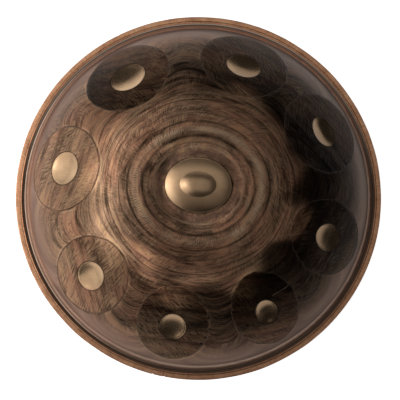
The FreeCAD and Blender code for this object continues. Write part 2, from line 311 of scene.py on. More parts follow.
def cap_height(x, y, half, rise, start):
    """Height of a domed cap of that size, or far below beside it."""
    spread = math.sqrt(1 - CAP_SINK ** 2)
    half_height = rise / (1 - CAP_SINK)
    inside = 1 - (x * spread / half[0]) ** 2 - (y * spread / half[1]) ** 2
    top = start - CAP_SINK * half_height + half_height * np.sqrt(np.clip(inside, 0, None))
    return np.where(inside > 0, top, -1e3)


class Note:
    """One note's place and shape on the upper shell."""

    def __init__(self, row, section):
        angle, self.half_width, dimple_v, dimple_u, self.shift, stroke = row[:6]
        self.mid_lightness, self.lightness_range, lighter_side = row[6:]
        self.dimple = (dimple_u, dimple_v)
        self.stroke = math.radians(stroke)
        radius = SHELL_RADIUS - NOTE_INSET
        sine = (radius - section.centre[0]) / section.shoulder
        cosine = math.sqrt(1 - sine ** 2)
        length_bulge = NOTE_HALF_LENGTH ** 2 / (2 * section.shoulder)
        width_bulge = self.half_width ** 2 * sine / (2 * radius)
        self.depth = NOTE_FLATNESS * length_bulge * width_bulge / (length_bulge + width_bulge)
        self.curve_u = (length_bulge - self.depth) / NOTE_HALF_LENGTH ** 2
        self.curve_v = (width_bulge - self.depth) / self.half_width ** 2
        ahead = np.array([math.cos(math.radians(angle)), math.sin(math.radians(angle)), 0])
        up = np.array([0, 0, 1.0])
        self.origin = ahead * radius + up * (section.centre[1] + section.shoulder * cosine)
        self.down_slope = ahead * cosine - up * sine
        self.outwards = ahead * sine + up * cosine
        self.side = np.cross(self.outwards, self.down_slope)
        lighter = math.radians(lighter_side)
        self.lighter_side = np.array([math.cos(lighter), math.sin(lighter), 0])

    def local(self, points):
        """Place of points in the note: down the slope, round the shell, and outwards."""
        offset = points - self.origin
        return offset @ self.down_slope, offset @ self.side, offset @ self.outwards

    def press(self, points):
        """The points with the note and its dimple pressed in, and their places for its marks."""
        u, v, w = self.local(points)
        edge = oval_edge(u, v, NOTE_HALF_LENGTH, self.half_width)
        dimple = oval_edge(u - self.shift, v, *self.dimple)
        flat = -self.depth - self.curve_u * u ** 2 - self.curve_v * v ** 2
        depth_share = np.clip(-dimple / np.mean(self.dimple), 0, 1)
        bowl = DIMPLE_DEPTH * (1 - (1 - depth_share) ** 2) * smooth_step(0.6, -2.4, dimple)
        moved = np.where(edge < 12, soft_low(w, flat, 0.3) - bowl - w, 0)
        along = u * math.cos(self.stroke) + v * math.sin(self.stroke)
        across = v * math.cos(self.stroke) - u * math.sin(self.stroke)
        return points + moved[..., None] * self.outwards, edge, dimple, along, across

    def lightness(self, points):
        share = (points - self.origin) @ self.lighter_side / self.half_width
        return np.clip(self.mid_lightness + self.lightness_range * share, 0, 1)


def grain_place(turn, across, slant):
    """Coordinates along and across circular grain, slanted by a share of the distance across."""
    turn = turn + slant * across / GRAIN_RADIUS
    return np.stack([GRAIN_RADIUS * np.cos(turn), GRAIN_RADIUS * np.sin(turn), across], axis=-1)


def upper_surface(section, radius, turn):
    """Points of the upper shell's outside, and what its metal needs to know at each of them."""
    x = radius * np.cos(turn)
    y = radius * np.sin(turn)
    trough = section.rise - MOAT_DEPTH + MOAT_SECTION - np.sqrt(
        np.clip(MOAT_SECTION ** 2 - (radius - MOAT_RADIUS) ** 2, 0, None))
    height = soft_low(section.height(radius), trough, 0.25)
    ding_x = x * math.cos(DING_TURN) + y * math.sin(DING_TURN)
    ding_y = y * math.cos(DING_TURN) - x * math.sin(DING_TURN)
    height = soft_high(height, cap_height(ding_x, ding_y, DING, DING_RISE, section.rise), 0.2)
    height = soft_high(height, cap_height(
        ding_x, ding_y, PLATEAU, PLATEAU_RISE, section.rise + PLATEAU_START), 0.15)
    ding_edge = oval_edge(ding_x, ding_y, *DING)

    points = np.stack([x, y, height], axis=-1)
    nearest = np.full(radius.shape, 1e3)
    dimple_edge = np.full(radius.shape, 1e3)
    strokes = np.zeros(points.shape)
    lightness = np.zeros(radius.shape)
    swerve = np.zeros(radius.shape)
    pit = np.full(radius.shape, 1e3)
    scratch = np.full(radius.shape, 1e3)
    for index, row in enumerate(NOTES):
        note = Note(row, section)
        u, v, _ = note.local(points)
        if index == PITTED_NOTE:
            pit = np.min([np.hypot(u - place[0], v - place[1]) for place in PITS], axis=0)
        if index == SCRATCHED_NOTE:
            scratch = segment_distance(u, v, *SCRATCH)
        points, edge, dimple, along, across = note.press(points)
        closer = edge < nearest
        seed = np.full(radius.shape, 200.0 * (index + 1))
        strokes = np.where(closer[..., None], np.stack([along, seed, across], axis=-1), strokes)
        lightness = np.where(closer, note.lightness(points), lightness)
        nearest = np.minimum(nearest, edge)
        dimple_edge = np.minimum(dimple_edge, dimple)
        swerve += 15 * np.exp(-np.clip(edge, 0, None) / 22)

    # The grain runs round the ding's oval, widens to circles, and swerves round the notes.
    oval = 4.0 * np.cos(2 * (turn - DING_TURN)) * (1 - smooth_step(100, 150, radius))
    across = radius - oval + swerve
    slant = HATCH_SLANT + waviness(x, y, (60, 160), 0.12)
    flow = grain_place(turn, across, 0)
    hatch = grain_place(turn, across, slant)
    in_strokes = strokes + np.stack([slant * strokes[..., 2], slant * 0, slant * 0], axis=-1)
    hatch = np.where((nearest < 0)[..., None], in_strokes, hatch)

    # The shoulder is darker, most of all on its right: partly dark oxide left unpolished, partly
    # painted shade away from the lamps on the left; the crown is painted lighter on its left.
    right = towards(turn, 0)
    uneven = radius + waviness(x, y, (40, 120), 9)
    wear = 1 - smooth_step(100, 160, uneven) * (0.78 * right + 0.12)
    wear = wear * (1 - 0.55 * right * np.exp(-((uneven - 163) / 24) ** 2))
    wear = wear * (1 + 0.35 * (1 - right) * np.exp(-((radius - 115) / 28) ** 2))
    for direction, power, centre, reach, change in TONE_PATCHES:
        ring_share = np.exp(-((uneven - centre) / reach) ** 2)
        wear = wear * (1 + change * towards(turn, direction, power) * ring_share)

    plain = smooth_step(-1, 3, dimple_edge) * smooth_step(0, 6, ding_edge)
    plain = plain * (1 - smooth_step(section.wall_end - 22, section.wall_end - 8, radius))
    for lengths, dent in DENTS:
        points[..., 2] += waviness(x, y, lengths, dent) * plain
    rings = np.sin((radius - oval) * 2 * math.pi / RING_SPACING) * RING_HEIGHT
    rings = rings * smooth_step(44, 60, radius) * (1 - smooth_step(115, 135, radius))
    points[..., 2] += rings * plain
    return points, {
        "flow": flow,
        "hatch": hatch,
        "strokes": strokes,
        "ring": radius - oval,
        "radius": radius,
        "note_edge": nearest,
        "dimple_edge": dimple_edge,
        "ding_edge": ding_edge,
        "lightness": lightness,
        "wear": wear,
        "pit": pit,
        "scratch": scratch,
    }


def moved_inwards(points):
    """A surface of rings of equal length, moved in by the thickness of the sheet."""
    around = np.roll(points, -1, axis=1) - np.roll(points, 1, axis=1)
    normal = np.cross(np.gradient(points, axis=0), around)
    return points - normal / (np.linalg.norm(normal, axis=-1, keepdims=True) + 1e-12) * SHEET


def make_top_shell():
    """Rings of points from the ding out to the flange, and a coarser inside."""
    section = Section(CROWN - TOP_SEAM, DING[1])
    columns = TOP_COLUMNS

    def crowding(radius):
        bend = np.abs(radius - (section.wall_end + SHELL_RADIUS) / 2) < BEND_RADIUS
        ding = radius < DING[0] + 4
        plain = (radius > 70) & (radius < 120)
        return np.select([bend, ding, plain], [1.8, 2.2, 0.8], 1.0)

    radii = section.radii(0.5, TOP_STEP, crowding)
    starts = []
    counts = []
    for radius in radii:
        starts.append(sum(counts))
        fewer = 4 if radius < QUARTER_COLUMNS else 2 if radius < HALF_COLUMNS else 1
        counts.append(columns // fewer)
    radius = np.repeat(radii, counts)
    turn = np.concatenate([np.linspace(0, 2 * math.pi, n, endpoint=False) for n in counts])
    outer, marks = upper_surface(section, radius, turn)
    faces = []
    for index in range(len(radii) - 1):
        faces += strip_faces(starts[index], counts[index], starts[index + 1], counts[index + 1])
    faces.append(list(range(counts[0])))

    inner_radii = section.radii(2.0, TOP_INSIDE_STEP, crowding)
    inner_radius, inner_turn = np.meshgrid(
        inner_radii, np.linspace(0, 2 * math.pi, columns, endpoint=False), indexing="ij")
    inner, _ = upper_surface(section, inner_radius, inner_turn)
    inner = moved_inwards(inner)
    inner[-1, :, 2] = 0
    first = len(outer)
    for index in range(len(inner_radii) - 1):
        ring = first + index * columns
        faces += [face[::-1] for face in strip_faces(ring, columns, ring + columns, columns)]
    faces.append(list(range(first, first + columns))[::-1])
    faces += strip_faces(starts[-1], columns, first + (len(inner_radii) - 1) * columns, columns)
    points = np.concatenate([outer, inner.reshape(-1, 3)])
    points[:, 2] += TOP_SEAM
    blank = len(points) - len(outer)
    marks = {key: np.concatenate([values, np.zeros((blank, *values.shape[1:]))])
             for key, values in marks.items()}
    marks["outside"] = np.concatenate([np.ones(len(outer)), np.zeros(blank)])
    return make_object("upper_shell", points, faces, marks, sharp=60)


def make_bottom_shell():
    """The lower shell with its port and neck."""
    lip_start = PORT_RADIUS + LIP_RADIUS
    section = Section(BOTTOM_SEAM, lip_start + BASE_WIDTH)
    columns = BOTTOM_COLUMNS

    def crowding(radius):
        bend = np.abs(radius - (section.wall_end + SHELL_RADIUS) / 2) < BEND_RADIUS
        return np.where(bend, 1.8, 1.0)

    radii = section.radii(lip_start, BOTTOM_STEP, crowding)
    line = np.stack([radii, BOTTOM_SEAM - section.height(radii)], axis=-1)
    direction = np.gradient(line, axis=0)
    direction /= np.linalg.norm(direction, axis=-1, keepdims=True)
    inside = line + np.stack([-direction[:, 1], direction[:, 0]], axis=-1) * SHEET
    inside[0] = (lip_start, SHEET)
    inside[-1] = (FLANGE_RADIUS, BOTTOM_SEAM)
    centre = (lip_start, LIP_RADIUS)
    neck = PORT_RADIUS + SHEET
    lip = arc_points(centre, LIP_RADIUS, 270, 180, 10)[1:]
    lip += [(PORT_RADIUS, z) for z in np.linspace(LIP_RADIUS, NECK_TOP, 8)[1:-1]]
    neck_edge = arc_points((neck - SHEET / 2, NECK_TOP - SHEET / 2), SHEET / 2, 180, 0, 7)
    outside_rows = len(line) + len(lip) + len(neck_edge) // 2
    lip += neck_edge
    lip += [(neck, z) for z in np.linspace(NECK_TOP, LIP_RADIUS, 8)[1:-1]]
    lip += arc_points(centre, LIP_RADIUS - SHEET, 180, 270, 10)[:-1]
    outline = np.concatenate([line[::-1], lip, inside])
    turns = np.linspace(0, 2 * math.pi, columns, endpoint=False)
    points = lathe_points(outline, turns)
    radius = np.repeat(outline[:, :1], columns, axis=1)
    x, y = points[..., 0], points[..., 1]
    plain = smooth_step(lip_start + BASE_WIDTH + 10, lip_start + BASE_WIDTH + 35, radius)
    plain = plain * (1 - smooth_step(section.wall_end - 22, section.wall_end - 8, radius))
    points[..., 2] += waviness(x, y, *BOTTOM_DENTS) * plain
    rows = len(outline)
    outside = np.arange(rows) < outside_rows
    around = np.broadcast_to(turns, (rows, columns))
    across = radius + waviness(x, y, (90, 200), 5.0)
    flat = {
        "flow": grain_place(around, across, 0),
        "hatch": grain_place(around, across, HATCH_SLANT),
        "strokes": np.zeros(points.shape),
        "ring": radius + 60,
        "radius": radius,
        "note_edge": np.full(radius.shape, 100.0),
        "dimple_edge": radius - lip_start - 2.5,
        "ding_edge": np.full(radius.shape, 100.0),
        "lightness": np.ones(radius.shape),
        "wear": 0.5 + waviness(x, y, (60, 160), 0.08),
        "pit": np.full(radius.shape, 100.0),
        "scratch": np.full(radius.shape, 100.0),
        "outside": np.repeat(outside[:, None], columns, axis=1).astype(float),
    }
    marks = {key: values.reshape(-1, *values.shape[2:]) for key, values in flat.items()}
    faces = lathe_faces(rows, columns, True)
    return make_object("lower_shell", points.reshape(-1, 3), faces, marks, sharp=60)


def make_band():
    """The edging: a channel with rolled edges, a butt joint and a few nicks."""
    low = BOTTOM_SEAM - SHEET
    high = TOP_SEAM + SHEET
    inner = FLANGE_RADIUS - BAND_REACH
    outer = FLANGE_RADIUS + BAND
    sink = math.sqrt(BEAD_RADIUS ** 2 - (BEAD_WIDTH / 2) ** 2)
    lean = math.degrees(math.asin(sink / BEAD_RADIUS))
    bead = (inner + BEAD_WIDTH / 2, high + BAND - sink)
    corner = (outer - BAND_CORNER, high + BAND - BAND_CORNER)
    upper = [(inner, high), (inner, high + BAND / 2)]
    upper += arc_points(bead, BEAD_RADIUS, 180 - lean, lean, 9)
    upper += [(r, high + BAND) for r in np.linspace(inner + BEAD_WIDTH, corner[0], 5)[1:-1]]
    upper += arc_points(corner, BAND_CORNER, 90, 0, 7)
    middle = (low + high) / 2
    lower = [(r, 2 * middle - z) for r, z in upper[::-1]]
    outline = np.asarray(upper + lower + [(FLANGE_RADIUS, low), (FLANGE_RADIUS, high)])
    columns = BAND_COLUMNS
    gap = BAND_GAP / outer
    turns = BAND_GAP_ANGLE + np.linspace(gap, 2 * math.pi, columns)
    points = lathe_points(outline, turns)
    radius = np.repeat(outline[:, :1], columns, axis=1)
    turn = np.broadcast_to(turns, radius.shape)
    reach = smooth_step(inner + BEAD_WIDTH, outer, radius)
    wave = waviness(turn * outer, turn * 0, (25, 90), 0.10)
    inwards = (wave.max() - wave + 0.08) * reach
    points *= 1 - inwards[..., None] * np.array([1, 1, 0]) / outer
    for angle, depth in NICKS:
        away = np.abs((turn - math.radians(angle) + math.pi) % (2 * math.pi) - math.pi) * outer
        nick = depth * np.clip(1 - away / NICK_HALF_WIDTH, 0, 1) * reach
        points *= 1 - nick[..., None] * np.array([1, 1, 0]) / outer
    rows = len(outline)
    flow = np.stack([outer * np.cos(turn), outer * np.sin(turn), radius], axis=-1)
    # Painted light and shade: lighter towards the upper left, darker towards the lower side.
    band_light_and_shade = np.clip(1.05 + 0.42 * towards(turn, 145) - 0.5 * towards(turn, 255, 2), 0.5, 1.35)
    marks = {"flow": flow.reshape(-1, 3), "radius": radius.reshape(-1),
             "wear": band_light_and_shade.reshape(-1)}
    faces = lathe_faces(rows, columns, False)
    return make_object("edging", points.reshape(-1, 3), faces, marks, sharp=50)


# ---------------------------------------------------------------- materials

class Paint:
    """A node material. Its helpers add nodes, and take numbers, colours or other nodes' outputs."""

    def __init__(self, name):
        self.material = bpy.data.materials.new(name)
        self.material.use_nodes = True
        self.tree = self.material.node_tree
        self.surface = self.tree.nodes["Principled BSDF"]

    def feed(self, socket, value):
        if isinstance(value, bpy.types.NodeSocket):
            self.tree.links.new(value, socket)
        elif hasattr(value, "__len__") and len(value) == 3 and len(socket.default_value) == 4:
            socket.default_value = (*value, 1)
        else:
            socket.default_value = value

    def add(self, kind, inputs, output=0, **settings):
        node = self.tree.nodes.new(kind)
        for key, value in settings.items():
            setattr(node, key, value)
        for key, value in inputs.items():
            self.feed(node.inputs[key], value)
        return node.outputs[output]

    def attribute(self, name):
        output = "Vector" if name in ("flow", "hatch", "strokes") else "Fac"
        return self.add("ShaderNodeAttribute", {}, output, attribute_name=name)

    def calc(self, operation, a, b=0.0):
        return self.add("ShaderNodeMath", {0: a, 1: b}, operation=operation)

    def plus(self, a, b):
        return self.calc("ADD", a, b)

    def minus(self, a, b):
        return self.calc("SUBTRACT", a, b)

    def times(self, a, b):
        return self.calc("MULTIPLY", a, b)

    def part(self, vector, axis):
        return self.add("ShaderNodeSeparateXYZ", {0: vector}, axis)

    def step(self, value, low, high):
        """Smoothly from 0 at low to 1 at high; low may be the larger."""
        if low > high:
            return self.minus(1.0, self.step(value, high, low))
        return self.add("ShaderNodeMapRange", {"Value": value, "From Min": low, "From Max": high},
                        interpolation_type="SMOOTHSTEP")

    def span(self, value, low, high, to_low, to_high):
        return self.add("ShaderNodeMapRange", {
            "Value": value, "From Min": low, "From Max": high, "To Min": to_low, "To Max": to_high})

    def line(self, distance, centre, half_width):
        """1 on a line at that distance, fading to 0 either side."""
        away = self.calc("ABSOLUTE", self.minus(distance, centre))
        return self.step(away, half_width, 0.0)

    def noise(self, vector, along, across, detail=3.0, roughness=0.55, distortion=0.0):
        """Noise stretched along the grain, with its lengths along and across in millimetres."""
        scaled = self.add("ShaderNodeVectorMath", {
            0: vector, 1: (1 / along, 1 / along, 1 / across)}, operation="MULTIPLY")
        return self.add("ShaderNodeTexNoise", {
            "Vector": scaled, "Scale": 1.0, "Detail": detail, "Roughness": roughness,
            "Distortion": distortion})

    def mix(self, share, a, b, mode="MIX"):
        return self.add("ShaderNodeMix", {0: share, 6: a, 7: b}, 2,
                        data_type="RGBA", blend_type=mode)

    def mix_number(self, share, a, b):
        return self.add("ShaderNodeMix", {0: share, 2: a, 3: b}, 0, data_type="FLOAT")

    def mix_vector(self, share, a, b):
        return self.add("ShaderNodeMix", {0: share, 4: a, 5: b}, 1, data_type="VECTOR")

    def tinted(self, colour, tint):
        return self.mix(1.0, colour, tint, "MULTIPLY")

    def dimmed(self, colour, value):
        return self.tinted(colour, self.grey(value))

    def grey(self, value):
        return self.add("ShaderNodeCombineColor", {0: value, 1: value, 2: value})

    def ramp(self, value, stops):
        node = self.tree.nodes.new("ShaderNodeValToRGB")
        self.feed(node.inputs[0], value)
        while len(node.color_ramp.elements) < len(stops):
            node.color_ramp.elements.new(1.0)
        for element, (place, colour) in zip(node.color_ramp.elements, stops):
            element.position = place
            element.color = (*colour, 1)
        return node.outputs[0]

    def finish(self, colour, roughness, relief, distance, strength=1.0):
        """The finished material, with a colour, a roughness and bumps as high as the distance."""
        bump = self.add("ShaderNodeBump", {
            "Height": relief, "Distance": distance, "Strength": strength})
        self.feed(self.surface.inputs["Base Color"], colour)
        self.feed(self.surface.inputs["Roughness"], roughness)
        self.feed(self.surface.inputs["Normal"], bump)
        return self.material


DARK = (0.022, 0.014, 0.009)
UMBER = (0.085, 0.050, 0.032)
BROWN = (0.19, 0.108, 0.067)
MAUVE = (0.29, 0.165, 0.115)
COPPER = (0.42, 0.235, 0.14)
TAN = (0.50, 0.315, 0.18)
GOLD = (0.58, 0.38, 0.22)
TARNISHED_GOLD = (0.45, 0.285, 0.165)
BARE_RING = (0.58, 0.39, 0.25)
BARE_CUT = (0.66, 0.47, 0.31)
PIT_BLACK = (0.008, 0.006, 0.005)
SCRATCH_BROWN = (0.20, 0.13, 0.085)
INSIDE_STEEL = (0.10, 0.075, 0.06)
LIT_WALL = (0.92, 0.69, 0.55)
BEND = [(0.32, 0.21, 0.15), (0.92, 0.70, 0.56)]         # shaded and lit
FLANGE = [(0.10, 0.062, 0.042), (0.62, 0.45, 0.34)]     # shaded and lit
EDGING_STROKE = (0.20, 0.105, 0.065)
EDGING_SCRATCH = (0.64, 0.42, 0.28)
EDGING_CORNER = (0.24, 0.135, 0.085)

# Colours for values between 0 and 1, each with the value it stands at.
WALL = [(0.3, (0.115, 0.063, 0.042)), (0.5, (0.17, 0.097, 0.066)), (0.7, (0.235, 0.138, 0.095))]
EDGING = [(0.30, (0.46, 0.22, 0.115)), (0.50, (0.72, 0.36, 0.195)), (0.70, (0.88, 0.48, 0.28))]
GLUE = [(0.3, (0.035, 0.032, 0.030)), (0.7, (0.085, 0.078, 0.070))]
PATINA = [
    (0.35, DARK), (0.42, UMBER), (0.47, BROWN), (0.51, MAUVE), (0.56, COPPER), (0.64, TAN)]
MIDDLE_TONE = 0.495             # of the grain's noises added up

# Distances from the axis over which the metal changes from the notes out to the rim.
NOTES_TO_WALL = (208.0, 242.0)
ALL_WALL = (236.0, 245.0)
WALL_TO_LIT = (243.0, 247.0)
LIT_TO_BEND = (249.0, 250.5)
BEND_TO_FLANGE = (251.6, 252.8)
ROOT_SHADOW_LINE = 252.4
EDGING_CREASE = 257.9
EDGING_EDGE = (263.6, 265.0)

# Marks round the ding: distance from the axis, half width, colour and strength.
RING_MARKS = [
    (48.5, 6.5, (0.20, 0.112, 0.08), 0.75),
    # A painted highlight on the outer wall of the trough round the ding.
    (56.5, 2.6, (0.42, 0.27, 0.17), 0.8),
    (62.5, 1.8, UMBER, 0.6),
    (71.5, 3.8, DARK, 0.9),
    (92.0, 2.6, DARK, 0.85),
    (104.0, 1.4, UMBER, 0.7),
    (122.0, 1.4, DARK, 0.8),
    (131.0, 2.4, TAN, 0.4),
]

# Broken dark lines that swerve round the notes: place across the grain, and half width.
CRACKS = [(137.0, 1.4), (144.5, 1.1), (152.0, 1.8), (163.0, 1.2), (176.0, 1.5)]


class ShellMetal(Paint):
    """Heat-coloured steel with brushed grain, notes in their own patina and painted shade, and gold
    dimples.
    """

    def __init__(self, name):
        super().__init__(name)
        self.radius = self.attribute("radius")
        self.ring = self.attribute("ring")
        self.note_edge = self.attribute("note_edge")
        self.dimple_edge = self.attribute("dimple_edge")
        self.ding_edge = self.attribute("ding_edge")
        self.wear = self.attribute("wear")
        self.flow = self.attribute("flow")
        self.around_x = self.part(self.flow, 0)
        self.around_y = self.part(self.flow, 1)
        self.lit = self.span(self.around_y, 10, 140, 0, 1)

        self.in_dimple = self.step(self.dimple_edge, 0.4, -0.6)
        self.in_ding = self.step(self.ding_edge, 0.4, -0.6)
        beside_notes = self.times(self.step(self.radius, *NOTES_TO_WALL),
                                  self.step(self.note_edge, 0.0, 4.0))
        self.wall = self.calc("MAXIMUM", beside_notes, self.step(self.radius, *ALL_WALL))
        wander = self.times(self.minus(self.noise(self.flow, 16, 12, detail=2), 0.5), 7)
        self.in_note = self.step(self.plus(self.note_edge, wander), 1.0, -0.6)

        self.grain = self.mix_vector(self.in_note, self.flow, self.attribute("strokes"))
        self.wide = self.noise(self.grain, 95, 13, detail=3, distortion=0.4)
        self.streak = self.noise(self.grain, 34, 2.8, detail=3, distortion=0.3)
        self.fine = self.noise(self.grain, 14, 0.8, detail=2)
        self.fleck = self.noise(self.grain, 2.4, 1.5, detail=3, roughness=0.7)
        self.patch = self.noise(self.grain, 30, 9, detail=2)
        self.cloud = self.noise(self.grain, 90, 40, detail=2)
        self.feather = self.noise(self.attribute("hatch"), 1.9, 10, detail=2, distortion=0.3)

        # Cross-hatching where the shell was planished: along one ring, and in patches.
        self.ring_hatch = self.times(self.line(self.ring, HATCH_RING, 7.5),
                                     self.span(self.cloud, 0.35, 0.6, 0.25, 1))
        patch_hatch = self.times(self.step(self.patch, 0.40, 0.56),
                                 self.span(self.in_note, 0, 1, 0.7, 1))
        self.hatch = self.calc("MAXIMUM", self.ring_hatch, patch_hatch)
        self.ridges = self.times(self.hatch, self.step(self.feather, 0.42, 0.60))

    def grain_colour(self):
        """Bands, streaks, fine lines and flecks added up, then turned into patina colours."""
        tone = self.times(self.wide, 0.42)
        for layer, share in ((self.streak, 0.29), (self.fine, 0.13), (self.fleck, 0.16)):
            tone = self.plus(tone, self.times(layer, share))
        contrast = self.span(self.in_note, 0, 1, 1.0, 0.85)
        tone = self.plus(self.times(self.minus(tone, MIDDLE_TONE), contrast), MIDDLE_TONE)
        colour = self.ramp(tone, PATINA)
        rosy = self.tinted(colour, (1.05, 0.93, 0.87))
        olive = self.tinted(colour, (0.95, 0.98, 0.93))
        colour = self.mix(self.step(self.cloud, 0.40, 0.62), rosy, olive)
        for layer, level, half_width in (
                (self.wide, 0.49, 0.010), (self.wide, 0.57, 0.007), (self.streak, 0.60, 0.012)):
            vein = self.line(layer, level, half_width)
            colour = self.mix(self.times(vein, 0.40), colour, DARK)
        return colour

    def hatched(self, colour):
        """The cross-hatching, with regular cuts in its ring, whose bare metal shows more towards
        the upper right as a painted highlight.
        """
        upper_right = self.plus(self.times(self.around_x, 0.8), self.times(self.around_y, 0.6))
        # Painted highlight: the bare ring shows more towards the upper right.
        ring_highlight = self.span(upper_right, -90, 130, 0.15, 1)
        colour = self.mix(self.times(self.ring_hatch, ring_highlight), colour, BARE_RING)
        colour = self.mix(self.times(self.ridges, 0.55), colour, TAN)
        turn = self.calc("ARCTAN2", self.around_y, self.around_x)
        unsteady = self.times(self.noise(self.flow, 30, 8, detail=2), 9)
        wave = self.calc("SINE", self.plus(self.times(turn, HATCH_COUNT), unsteady))
        ticks = self.times(self.ring_hatch, self.step(wave, 0.1, 0.9))
        colour = self.mix(self.times(ticks, 0.6), colour, BARE_CUT)
        furrows = self.times(self.hatch, self.step(self.feather, 0.50, 0.36))
        return self.mix(self.times(furrows, 0.62), colour, UMBER)

    def ringed(self, colour):
        """Rings round the ding, and broken dark lines along the grain further out."""
        for centre, half_width, shade, share in RING_MARKS:
            mark = self.times(self.line(self.ring, centre, half_width),
                              self.span(self.cloud, 0.3, 0.6, 0.4, 1))
            colour = self.mix(self.times(mark, share), colour, shade)
        across = self.part(self.flow, 2)
        broken = self.times(self.step(self.noise(self.flow, 60, 26, detail=2), 0.46, 0.60),
                            self.minus(1.0, self.in_note))
        for centre, half_width in CRACKS:
            crack = self.times(self.line(across, centre, half_width), broken)
            colour = self.mix(self.times(crack, 0.8), colour, DARK)
        return colour

    def patina_and_shade(self, colour):
        """Each note's own darkness, as patina and painted shade, bare metal just outside its
        border, and the shell's wear with painted shade.
        """
        darkness = self.times(self.in_note, self.minus(1.0, self.attribute("lightness")))
        colour = self.dimmed(colour, self.span(darkness, 0, 1, 1, 0))
        warm = self.tinted(colour, (1.06, 0.96, 0.82))
        colour = self.mix(self.span(darkness, 0.0, 0.5, 0, 1), colour, warm)
        halo = self.times(self.line(self.note_edge, 2.6, 1.7), self.step(self.wide, 0.45, 0.6))
        colour = self.mix(self.times(halo, 0.8), colour, TAN)
        return self.dimmed(colour, self.wear)

    def walled(self, colour):
        """The smooth wall outside the notes, made darker or lighter by wear and painted shade, with
        a painted reflection of the floor as a light band near its foot, and the bend at its foot,
        painted lit on its far side and shaded elsewhere.
        """
        wall = self.ramp(self.noise(self.grain, 140, 6, detail=2), WALL)
        # Wear and painted shade make the wall darker or lighter, darkest on its right.
        wall = self.dimmed(wall, self.span(self.wear, 0.3, 1.2, 0.45, 1.5))
        colour = self.mix(self.wall, colour, wall)
        # Painted reflection of the floor: a light band near the wall's foot.
        colour = self.mix(self.step(self.radius, *WALL_TO_LIT), colour, LIT_WALL)
        bend = self.mix(self.lit, *BEND)
        return self.mix(self.step(self.radius, *LIT_TO_BEND), colour, bend)

    def bordered(self, colour):
        """Dark borders of notes, dimples and ding, the ding's as painted shade in the crease at its
        foot, with the pits and the scratch.
        """
        border = self.line(self.note_edge, -0.2, 1.5)
        strength = self.span(self.patch, 0.35, 0.65, 0.2, 0.85)
        colour = self.mix(self.times(border, strength), colour, DARK)
        # The line round the ding is painted shade in the crease at its foot.
        for edge in (self.dimple_edge, self.ding_edge):
            colour = self.mix(self.times(self.line(edge, 1.0, 1.5), 0.65), colour, DARK)
        colour = self.mix(self.step(self.attribute("pit"), 2.7, 1.5), colour, PIT_BLACK)
        return self.mix(self.step(self.attribute("scratch"), 1.3, 0.2), colour, SCRATCH_BROWN)

    def gilded(self, colour):
        """Polished dimples, darker where the shell's wear and painted shade darken it, and the
        ding, with a painted highlight on its far side and painted shade on its near side.
        """
        position = self.add("ShaderNodeTexCoord", {}, "Object")
        tarnish = self.add("ShaderNodeTexNoise", {
            "Vector": position, "Scale": 24.0, "Detail": 3.0})
        polish = self.mix(self.step(tarnish, 0.40, 0.62), GOLD, TARNISHED_GOLD)
        shaded_gold = self.dimmed(polish, self.span(self.wear, 0.15, 0.9, 0.38, 1))
        colour = self.mix(self.in_dimple, colour, shaded_gold)
        # Painted highlight and shade on the ding: lighter on its far side, darker on its near side.
        far_side = self.times(self.around_y, self.span(self.radius, 0, 30, 0, 1))
        ding_light_and_shade = self.dimmed(
            polish, self.span(far_side, -GRAIN_RADIUS, GRAIN_RADIUS, 0.50, 1.65))
        return self.mix(self.in_ding, colour, ding_light_and_shade)

    def flanged(self, colour):
        """The flange, painted lit on its far side and shaded elsewhere, with a painted shadow as a
        dark line at the wall's foot inside the edging, and the inside of the shell.
        """
        flange = self.mix(self.lit, *FLANGE)
        colour = self.mix(self.step(self.radius, *BEND_TO_FLANGE), colour, flange)
        # Painted shadow: a dark line in the crease at the foot of the wall.
        colour = self.mix(self.line(self.radius, ROOT_SHADOW_LINE, 1.2), colour, DARK)
        return self.mix(self.attribute("outside"), INSIDE_STEEL, colour)

    def roughness(self):
        rough = self.span(self.plus(self.streak, self.fine), 0.7, 1.3, 0.30, 0.50)
        rough = self.plus(rough, self.times(self.ridges, 0.08))
        for region, value in ((self.in_ding, 0.36), (self.in_dimple, 0.27), (self.wall, 0.33)):
            rough = self.mix_number(region, rough, value)
        return rough

    def relief(self):
        """Grain and cross-hatching in low relief, faint on the wall and nearly gone on gold."""
        relief = self.plus(self.times(self.streak, 0.6), self.times(self.fine, 0.25))
        relief = self.plus(relief, self.times(self.ridges, 0.35))
        gold = self.calc("MAXIMUM", self.in_dimple, self.in_ding)
        calm = self.calc("MAXIMUM", gold, self.times(self.wall, 0.8))
        return self.times(relief, self.span(calm, 0, 1, 1, 0.015))


def shell_metal(name):
    paint = ShellMetal(name)
    colour = paint.grain_colour()
    colour = paint.hatched(colour)
    colour = paint.ringed(colour)
    colour = paint.patina_and_shade(colour)
    colour = paint.walled(colour)
    colour = paint.bordered(colour)
    colour = paint.gilded(colour)
    colour = paint.flanged(colour)
    paint.feed(paint.surface.inputs["Metallic"], paint.span(paint.wall, 0, 1, 1.0, 0.94))
    return paint.finish(colour, paint.roughness(), paint.relief(), 0.45 * MM, 0.9)


